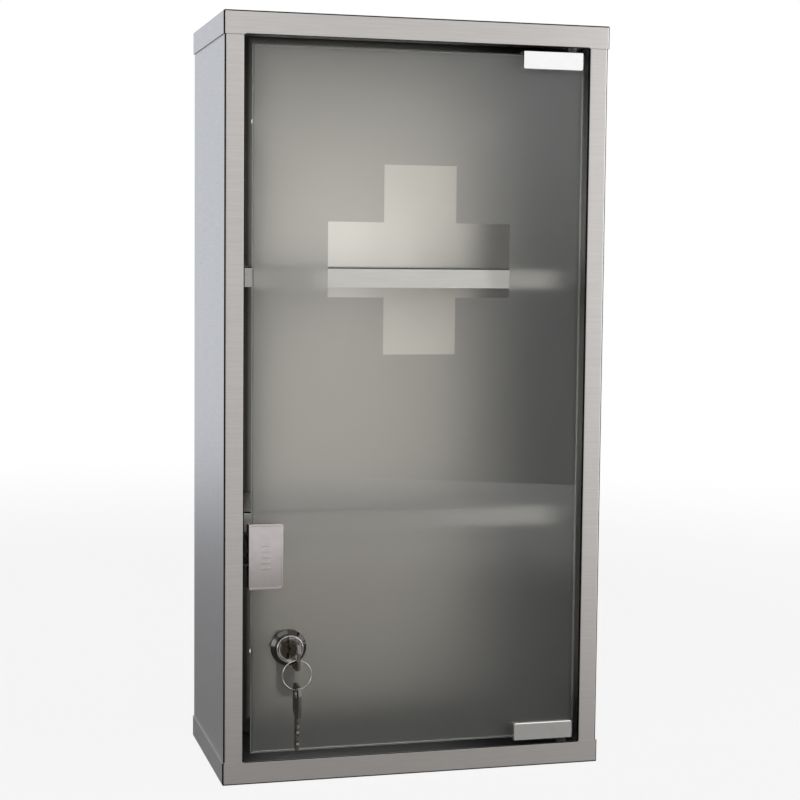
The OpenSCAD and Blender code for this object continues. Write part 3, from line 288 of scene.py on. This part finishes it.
def brushed_steel(name, light="#c4c1be", dull="", polished=""):
    """304 stainless sheet, belt brushed. Its level grain gives a satin sheen that spreads highlights up
    and down, and turns slightly blue at a slant. Dull is a darker tone painted inside the casing as
    shade, and polished a near white painted on the middle of the back panel as a pool of light. The
    bends are painted near black, as a dark reflection."""
    finish = bpy.data.materials.new(name)
    tree = empty_tree(finish)
    # The real grain is 0.1 mm wide, and is drawn 0.8 mm wide so that it shows
    place = grain_coordinates(tree)
    noise = {"Vector": place, "Scale": 1, "Detail": 3, "Roughness": 0.65}
    grain = add(tree, "TexNoise", noise).outputs["Fac"]
    tone = add(tree, "MapRange", {0: grain, 1: GRAIN_THIN, 2: GRAIN_THICK, 3: 0, 4: 1}).outputs[0]
    limits = {0: grain, 1: GRAIN_THIN, 2: GRAIN_THICK, 3: ROUGHEST, 4: SMOOTHEST}
    gloss = add(tree, "MapRange", limits).outputs[0]
    shaded = [c * GRAIN_SHADE for c in colour(light)[:3]] + [1]
    tones = {"Factor": tone, 6: shaded, 7: colour(light)}
    shade = add(tree, "Mix", tones, data_type="RGBA").outputs[2]
    if dull:
        inner = colour(dull)
        if polished:
            # Painted light: the middle of the back panel takes the bright tone, fading out near its edges
            reach = depth_inside(tree, *PAINTED_LIGHT_BOX, axes=(0, 2))
            reach = add(tree, "MapRange", {0: reach, 1: 0, 2: PAINTED_LIGHT_FADES, 3: 0, 4: 1}).outputs[0]
            tones = {"Factor": reach, 6: inner, 7: colour(polished)}
            inner = add(tree, "Mix", tones, data_type="RGBA").outputs[2]
        # Painted shade: inside the casing the tone turns to the darker dull one
        depth = depth_inside(tree, *INSIDE, axes=(0, 1, 2))
        inside = add(tree, "Math", {0: depth, 1: 0.0}, operation="GREATER_THAN").outputs[0]
        tones = {"Factor": inside, 6: shade, 7: inner}
        shade = add(tree, "Mix", tones, data_type="RGBA").outputs[2]
    # The bends are painted near black, a painted dark reflection along each round
    tones = {"Factor": flatness(tree), 6: colour("#0f0e0e"), 7: shade}
    shade = add(tree, "Mix", tones, data_type="RGBA").outputs[2]
    bump = add(tree, "Bump", {"Strength": 0.05, "Distance": 0.00005, "Height": grain})
    # Across the grain is up on every wall, and along Y on a top
    across = add(tree, "CombineXYZ", {"X": 0.0, "Y": 0.001, "Z": 1.0})
    metal = add(
        tree,
        "BsdfPrincipled",
        {
            "Base Color": shade,
            "Metallic": 1,
            "Roughness": gloss,
            "Specular Tint": colour("#e6ebf4"),
            "Anisotropic": 0.75,
            "Tangent": across.outputs[0],
            "Normal": bump.outputs[0],
        },
    )
    add(tree, "OutputMaterial", {"Surface": metal.outputs[0]})
    return finish


dress(brushed_steel("brushed stainless steel, sides", dull="#5e5c5a"), "left_side_panel", "right_side_panel")


# End caps. Trays of the same sheet, whose skirts close over the ends of the
# side panels and are riveted to them behind.
# Inside, the caps are painted darker still, as shade
dress(brushed_steel("brushed stainless steel, end caps", dull="#4f4d4b"), "top_cap", "bottom_cap")


# Back panel. A flat sheet between the rear flanges, with four wall holes. The
# middle of its inner face is painted near white, a painted pool of light that
# lightens the frosted door from behind, and it fades towards its edges to the
# darker tone painted inside as shade.
PAINTED_LIGHT_BOX = (-0.1065, 0.07, 0.012), (0.137, 0.08, 0.5785)
PAINTED_LIGHT_FADES = 0.016
dress(brushed_steel("brushed stainless steel, back panel", dull="#454342", polished="#faf5ee"), "back_panel")


# Shelves. Two sheets with lips folded down in front and behind, brushed all
# over and painted lighter than the other steel, as light, so their front lips
# show as bright bands through the frosted door.
dress(brushed_steel("stainless steel, painted lighter", light="#d0cdca"), "upper_shelf", "lower_shelf")


# Shelf supports, pivot plates and the bracket of the latch. Cut and bent from
# the same brushed sheet, and spot welded inside the casing.
plain_steel = brushed_steel("brushed stainless steel")
dress(plain_steel, "shelf_supports", "top_pivot_plate", "bottom_pivot_plate", "latch_bracket")


# Rivets. They hold the shelves, the back panel and the caps. Drawn alloy with
# a soft grey shine, in clouds of 2 mm where the tool pressed the heads.
CLOUD_THIN, CLOUD_THICK, GLOSS_SPREAD = 0.35, 0.65, 0.15
SWELL = (0.6, 0, 0.8)


def cloudy(name, dark, light, roughness, metallic, cloud, relief=0.0, edge=0.0002, crown=None, painted_edge_highlight=""):
    """Finish with soft clouds of tone: cloud is their size in metres, relief their height and edge the
    radius of the edges. Crown is the middle of a face that swells a little, and the last argument is
    the colour of a highlight painted along rounded edges."""
    finish = bpy.data.materials.new(name)
    tree = empty_tree(finish)
    place = add(tree, "TexCoord").outputs["Object"]
    noise = {"Vector": place, "Scale": 1 / cloud, "Detail": 3, "Roughness": 0.6}
    clouds = add(tree, "TexNoise", noise).outputs["Fac"]
    tone = add(tree, "MapRange", {0: clouds, 1: CLOUD_THIN, 2: CLOUD_THICK, 3: 0, 4: 1}).outputs[0]
    tones = {"Factor": tone, 6: colour(dark), 7: colour(light)}
    shade = add(tree, "Mix", tones, data_type="RGBA").outputs[2]
    if painted_edge_highlight:
        # Painted highlight: rounded edges take a lighter colour
        tones = {"Factor": flatness(tree), 6: colour(painted_edge_highlight), 7: shade}
        shade = add(tree, "Mix", tones, data_type="RGBA").outputs[2]
    dull, glossy = roughness * (1 + GLOSS_SPREAD), roughness * (1 - GLOSS_SPREAD)
    gloss = add(tree, "MapRange", {0: clouds, 1: CLOUD_THIN, 2: CLOUD_THICK, 3: dull, 4: glossy}).outputs[0]
    facing = add(tree, "Bevel", {"Radius": edge}).outputs[0]
    if crown:
        off = add(tree, "VectorMath", {0: place, 1: crown}, operation="SUBTRACT").outputs[0]
        off = add(tree, "VectorMath", {0: off, 1: SWELL}, operation="MULTIPLY").outputs[0]
        swell = add(tree, "VectorMath", {0: off, 1: off}, operation="DOT_PRODUCT").outputs["Value"]
        dome = {"Strength": 1, "Distance": -1, "Height": swell, "Normal": facing}
        facing = add(tree, "Bump", dome).outputs[0]
    bump = add(tree, "Bump", {"Strength": 0.2, "Distance": relief, "Height": clouds, "Normal": facing})
    body = add(
        tree,
        "BsdfPrincipled",
        {"Base Color": shade, "Metallic": metallic, "Roughness": gloss, "Normal": bump.outputs[0]},
    )
    add(tree, "OutputMaterial", {"Surface": body.outputs[0]})
    return finish


rivet_alloy = cloudy(
    "drawn rivet alloy", "#8d8c89", "#a3a29f", roughness=0.34, metallic=1, cloud=0.002, relief=0.00002,
    edge=0.0012,
)
dress(rivet_alloy, "shelf_rivets", "panel_rivets", "cap_rivets")


# Touch latch. A spring plunger with a magnet in its tip slides in a housing of
# nylon, milky white in slight clouds of 3 mm, which is screwed to its bracket
# inside on the left. A push on the door lets it go.
nylon = cloudy(
    "natural white nylon", "#dfddd5", "#e4e2da", roughness=0.42, metallic=0, cloud=0.003, relief=0.00001
)
dress(nylon, "latch_housing")
# ABS is near black, with a mottled shine. The grain of its mould is 0.1 mm,
# and is drawn 1.5 mm coarse so that it shows
black_abs = cloudy(
    "moulded black ABS", "#19191b", "#232326", roughness=0.38, metallic=0, cloud=0.0015, relief=0.00003
)
dress(black_abs, "latch_end_plug", "latch_plunger")
# Zinc plating is silvery, with a faint bloom in patches of 2 mm
zinc = cloudy(
    "bright zinc plating", "#a9aaa6", "#c6c8c8", roughness=0.26, metallic=1, cloud=0.002, relief=0.00002
)
dress(zinc, "latch_screws", "latch_tip")
# Ferrite is dull and dark. The powder that it is pressed from has grains of
# 0.05 mm, and they are drawn 0.6 mm coarse so that they show
ferrite = cloudy(
    "sintered ferrite", "#2b2a2a", "#3c3a39", roughness=0.55, metallic=0, cloud=0.0006, relief=0.00004
)
dress(ferrite, "latch_magnet")
# Drawn wire is grey and evenly shiny, a little mottled from one mm to the next
spring_steel = cloudy("spring steel wire", "#7d7b78", "#969490", roughness=0.3, metallic=1, cloud=0.001)
dress(spring_steel, "latch_spring")


# Door. A pane of 5 mm float glass with ground edges and a hole for the lock.
# Its rear face is etched, apart from a plain cross that was masked off.
PANE_LOW, PANE_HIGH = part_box("door_glass")
GROUND_BEVEL = 0.001
HOLE, HOLE_R, HOLE_POINTS, HOLE_CELL = (-0.1, 0.1038), 0.010, 48, 0.016
CROSS, CROSS_SPAN, CROSS_ARM = (0.0016, 0.398), 0.144, 0.057
CLEAR, ETCHED, GROUND = range(3)


def glass(name, tint, roughness, lamp_tint, haze=0.0):
    """Glass that lamps also reach through, tinted lamp_tint. Haze is the share that it scatters back."""
    finish = bpy.data.materials.new(name)
    tree = empty_tree(finish)
    body = add(
        tree,
        "BsdfPrincipled",
        {"Base Color": colour(tint), "Roughness": roughness, "IOR": 1.52, "Transmission Weight": 1},
    )
    if haze:
        bloom = add(tree, "BsdfDiffuse", {"Color": colour("#f0efec")})
        body = add(tree, "MixShader", {0: haze, 1: body.outputs[0], 2: bloom.outputs[0]})
    through = add(tree, "BsdfTransparent", {"Color": colour(lamp_tint)})
    from_lamp = add(tree, "LightPath").outputs["Is Shadow Ray"]
    mixed = add(tree, "MixShader", {0: from_lamp, 1: body.outputs[0], 2: through.outputs[0]})
    add(tree, "OutputMaterial", {"Surface": mixed.outputs[0]})
    return finish


def cut_places(axis, hole, cross):
    """Where the bevel, the cell round the hole and the cross cut a face along one axis."""
    ends = [PANE_LOW[axis] + GROUND_BEVEL, PANE_HIGH[axis] - GROUND_BEVEL]
    cell = [hole - HOLE_CELL, hole + HOLE_CELL]
    return sorted(ends + cell + [cross + side * w / 2 for side in (-1, 1) for w in (CROSS_SPAN, CROSS_ARM)])


xs, zs = cut_places(0, HOLE[0], CROSS[0]), cut_places(2, HOLE[1], CROSS[1])
last_i, last_k = len(xs) - 1, len(zs) - 1
border = (
    [(i, 0) for i in range(last_i)]
    + [(last_i, k) for k in range(last_k)]
    + [(i, last_k) for i in range(last_i, 0, -1)]
    + [(0, k) for k in range(last_k, 0, -1)]
)
pane = bmesh.new()


def in_cross(x, z):
    """Whether a point of a face lies in the cross."""
    near, far = sorted((abs(x - CROSS[0]), abs(z - CROSS[1])))
    return near < CROSS_ARM / 2 and far < CROSS_SPAN / 2


def rim_point(count, y):
    """A point on the rim of the hole, counted from its lower left."""
    angle = 2 * math.pi * (count + 0.5) / HOLE_POINTS - 0.75 * math.pi
    return (HOLE[0] + HOLE_R * math.cos(angle), y, HOLE[1] + HOLE_R * math.sin(angle))


def lay_face(y, finish):
    """Lays a face of the pane in flat cells, and gives its border and the rim of the hole."""
    points = {(i, k): pane.verts.new((x, y, z)) for i, x in enumerate(xs) for k, z in enumerate(zs)}
    rim = [pane.verts.new(rim_point(count, y)) for count in range(HOLE_POINTS)]
    quarter = HOLE_POINTS // 4
    for i in range(last_i):
        for k in range(last_k):
            x, z = (xs[i] + xs[i + 1]) / 2, (zs[k] + zs[k + 1]) / 2
            cell = [points[i, k], points[i + 1, k], points[i + 1, k + 1], points[i, k + 1]]
            if math.dist((x, z), HOLE) > HOLE_R:
                pane.faces.new(cell).material_index = CLEAR if in_cross(x, z) else finish
                continue
            for side in range(4):
                arc = [rim[(side * quarter + s) % HOLE_POINTS] for s in range(quarter + 1)]
                around = [cell[side], cell[(side + 1) % 4]] + arc[::-1]
                pane.faces.new(around).material_index = finish
    return [points[p] for p in border], rim


def outline(y):
    """The edge of the pane at a depth, beside each point of the border."""
    x_of = dict(enumerate(xs)) | {0: PANE_LOW.x, last_i: PANE_HIGH.x}
    z_of = dict(enumerate(zs)) | {0: PANE_LOW.z, last_k: PANE_HIGH.z}
    return [pane.verts.new((x_of[i], y, z_of[k])) for i, k in border]


front_border, front_rim = lay_face(PANE_LOW.y, CLEAR)
rear_border, rear_rim = lay_face(PANE_HIGH.y, ETCHED)
edge_rows = [
    front_border,
    outline(PANE_LOW.y + GROUND_BEVEL),
    outline(PANE_HIGH.y - GROUND_BEVEL),
    rear_border,
]
for front, rear in [*zip(edge_rows, edge_rows[1:]), (front_rim, rear_rim)]:
    for s in range(len(front)):
        n = (s + 1) % len(front)
        pane.faces.new([front[n], front[s], rear[s], rear[n]]).material_index = GROUND
bmesh.ops.recalc_face_normals(pane, faces=pane.faces)
door_pane = put(
    "door_pane",
    pane,
    [
        # Float glass is clear, and mirrors at a glancing angle
        glass("polished float glass", "#fbfcfa", roughness=0.0, lamp_tint="#f6f8f5"),
        # Acid leaves pits of 0.02 mm, too fine to draw, which blur what is behind and add a pale haze
        glass("acid etched glass", "#acaaa6", roughness=0.43, lamp_tint="#ecebe8", haze=0.034),
        # A ground edge is a dull grey green
        glass("ground glass edge", "#5c625f", roughness=0.3, lamp_tint="#a9b0ac"),
    ],
)
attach(door_pane, "door")
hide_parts("door_glass")


# Hinge clips. Die-cast zinc channels over the hinged corners of the pane,
# chromed to a mirror with faint waves of 6 mm. Nylon liners and set screws
# grip the glass, and each clip turns on a pin in a bush in the end cap.
chrome = cloudy("bright chrome plating", "#f4f4f4", "#f7f7f7", roughness=0.07, metallic=1, cloud=0.006)
dress(chrome, "top_hinge_clip", "bottom_hinge_clip")
dress(nylon, "top_clip_liner", "bottom_clip_liner")
dress(zinc, "top_clip_screws", "bottom_clip_screws", "top_pivot_pin", "bottom_pivot_pin")
dress(black_abs, "top_pivot_bush", "bottom_pivot_bush", "pivot_washers")


# Push plate. Steel plate folded round the free edge of the pane over a liner,
# with five pressed ribs to push on. Its satin chrome is painted a faint rosy
# tint, a painted reflection of warm surroundings, in swells of 6 mm, and a
# highlight is painted along its edges.
PUSH_MIDDLE = (-0.1178, -0.075, 0.174)
# The lighter edge colour is a painted highlight
satin = cloudy(
    "satin chrome plating", "#b9b2b2", "#bcb5b5", roughness=0.13, metallic=1, cloud=0.006, edge=0.0005,
    crown=PUSH_MIDDLE, painted_edge_highlight="#f4f0f0",
)
dress(satin, "push_plate")
dress(black_abs, "push_plate_liner")


# Lock. A wafer cam lock through the hole in the pane, on a rubber gasket, with
# a nut behind. Its ring and barrel are turned and nickel plated, and polishing
# left waves of 4 mm in their mirror. The barrel is bright, and the ring is black
# nickel, painted darker still as a dark reflection.
black_nickel = cloudy(
    "black nickel plating", "#3e3c3a", "#454240", roughness=0.07, metallic=1, cloud=0.004, edge=0.0008
)
dress(black_nickel, "lock_trim_ring")
lock_nickel = cloudy(
    "lock nickel plating", "#b4b2af", "#bab8b5", roughness=0.08, metallic=1, cloud=0.004, edge=0.0006
)
dress(lock_nickel, "lock_barrel")
# The plug's nickel is painted brown, a painted reflection, and scuffed by keys every 2 mm
plug_nickel = cloudy(
    "plug nickel, painted brown reflection", "#675f57", "#716960", roughness=0.14, metallic=1, cloud=0.002, edge=0.0003
)
dress(plug_nickel, "lock_plug")
# Rubber is black, with no shine and a skin mottled every mm
rubber = cloudy("black rubber", "#121213", "#1b1b1c", roughness=0.75, metallic=0, cloud=0.001, relief=0.00005)
dress(rubber, "lock_gasket")
dress(black_abs, "lock_rear_washer")
dress(zinc, "lock_nut", "cam_washer", "cam_nut")
# Phosphate leaves the stamped cam a dim grey with clouds of 2 mm
phosphated = cloudy("grey phosphated steel", "#6c6966", "#767370", roughness=0.38, metallic=1, cloud=0.002)
dress(phosphated, "lock_cam")
# Wafers are stamped from yellow brass, tarnished a little from mm to mm
brass = cloudy("brass", "#b5954e", "#c6a760", roughness=0.3, metallic=1, cloud=0.001)
dress(brass, "lock_wafers")
dress(spring_steel, "wafer_springs")


# Keys. Two blanks stamped from brass, milled, notched and nickel plated, one
# in the lock and one on the ring. The plating is painted dim, as a dark
# reflection, with a slightly warm shine mottled in patches of 3 mm.
key_nickel = cloudy(
    "nickel plated keys", "#78746f", "#807c76", roughness=0.12, metallic=1, cloud=0.003, edge=0.0004
)
dress(key_nickel, "key", "spare_key")


# Split ring. Bright nickel plated spring wire, coiled twice round against
# itself. The end of its first turn steps over beside the second, and both
# ends are ground round.
RING_MIDDLE, RING_R, WIRE_R = Vector((-0.1, -0.1053, 0.089805)), 0.011, 0.00036
WIRE_SIDES, TURN_STEPS = 10, 96
# Counted in turns
STEP_OVER, END_GAP, FIRST_END = 34 / 360, 0.02, 0.55
TURNS = 2 - STEP_OVER - END_GAP
THINNEST_END = 0.2
coil = bmesh.new()
steps = round(TURNS * TURN_STEPS)
circles = []
for step in range(steps + 1):
    turn = TURNS * step / steps
    passed = min(max((turn - (1 - STEP_OVER)) / STEP_OVER, 0), 1)
    aside = WIRE_R * (6 * passed**2 - 4 * passed**3 - 1)
    angle = 2 * math.pi * (turn + FIRST_END)
    out = Vector((math.cos(angle), 0, math.sin(angle)))
    from_end = min(turn, TURNS - turn) * 2 * math.pi * RING_R / WIRE_R
    thin = WIRE_R * math.sqrt(max(1 - (1 - min(from_end, 1)) ** 2, THINNEST_END**2))
    circle = []
    for side in range(WIRE_SIDES):
        round_wire = 2 * math.pi * side / WIRE_SIDES
        across = Vector((0, aside + thin * math.sin(round_wire), 0))
        place = RING_MIDDLE + out * (RING_R + thin * math.cos(round_wire)) + across
        circle.append(coil.verts.new(place))
    circles.append(circle)
coil.faces.new(circles[0])
coil.faces.new(circles[-1][::-1])
for last, following in zip(circles, circles[1:]):
    for side in range(WIRE_SIDES):
        n = (side + 1) % WIRE_SIDES
        coil.faces.new([last[side], following[side], following[n], last[n]]).smooth = True
bmesh.ops.recalc_face_normals(coil, faces=coil.faces)
ring_wire = cloudy(
    "nickel plated spring wire", "#b5b2ad", "#bebbb6", roughness=0.15, metallic=1, cloud=0.002, edge=0.0001
)
split_ring = put("split_ring", coil, [ring_wire])
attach(split_ring, "ring")
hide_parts("key_ring")
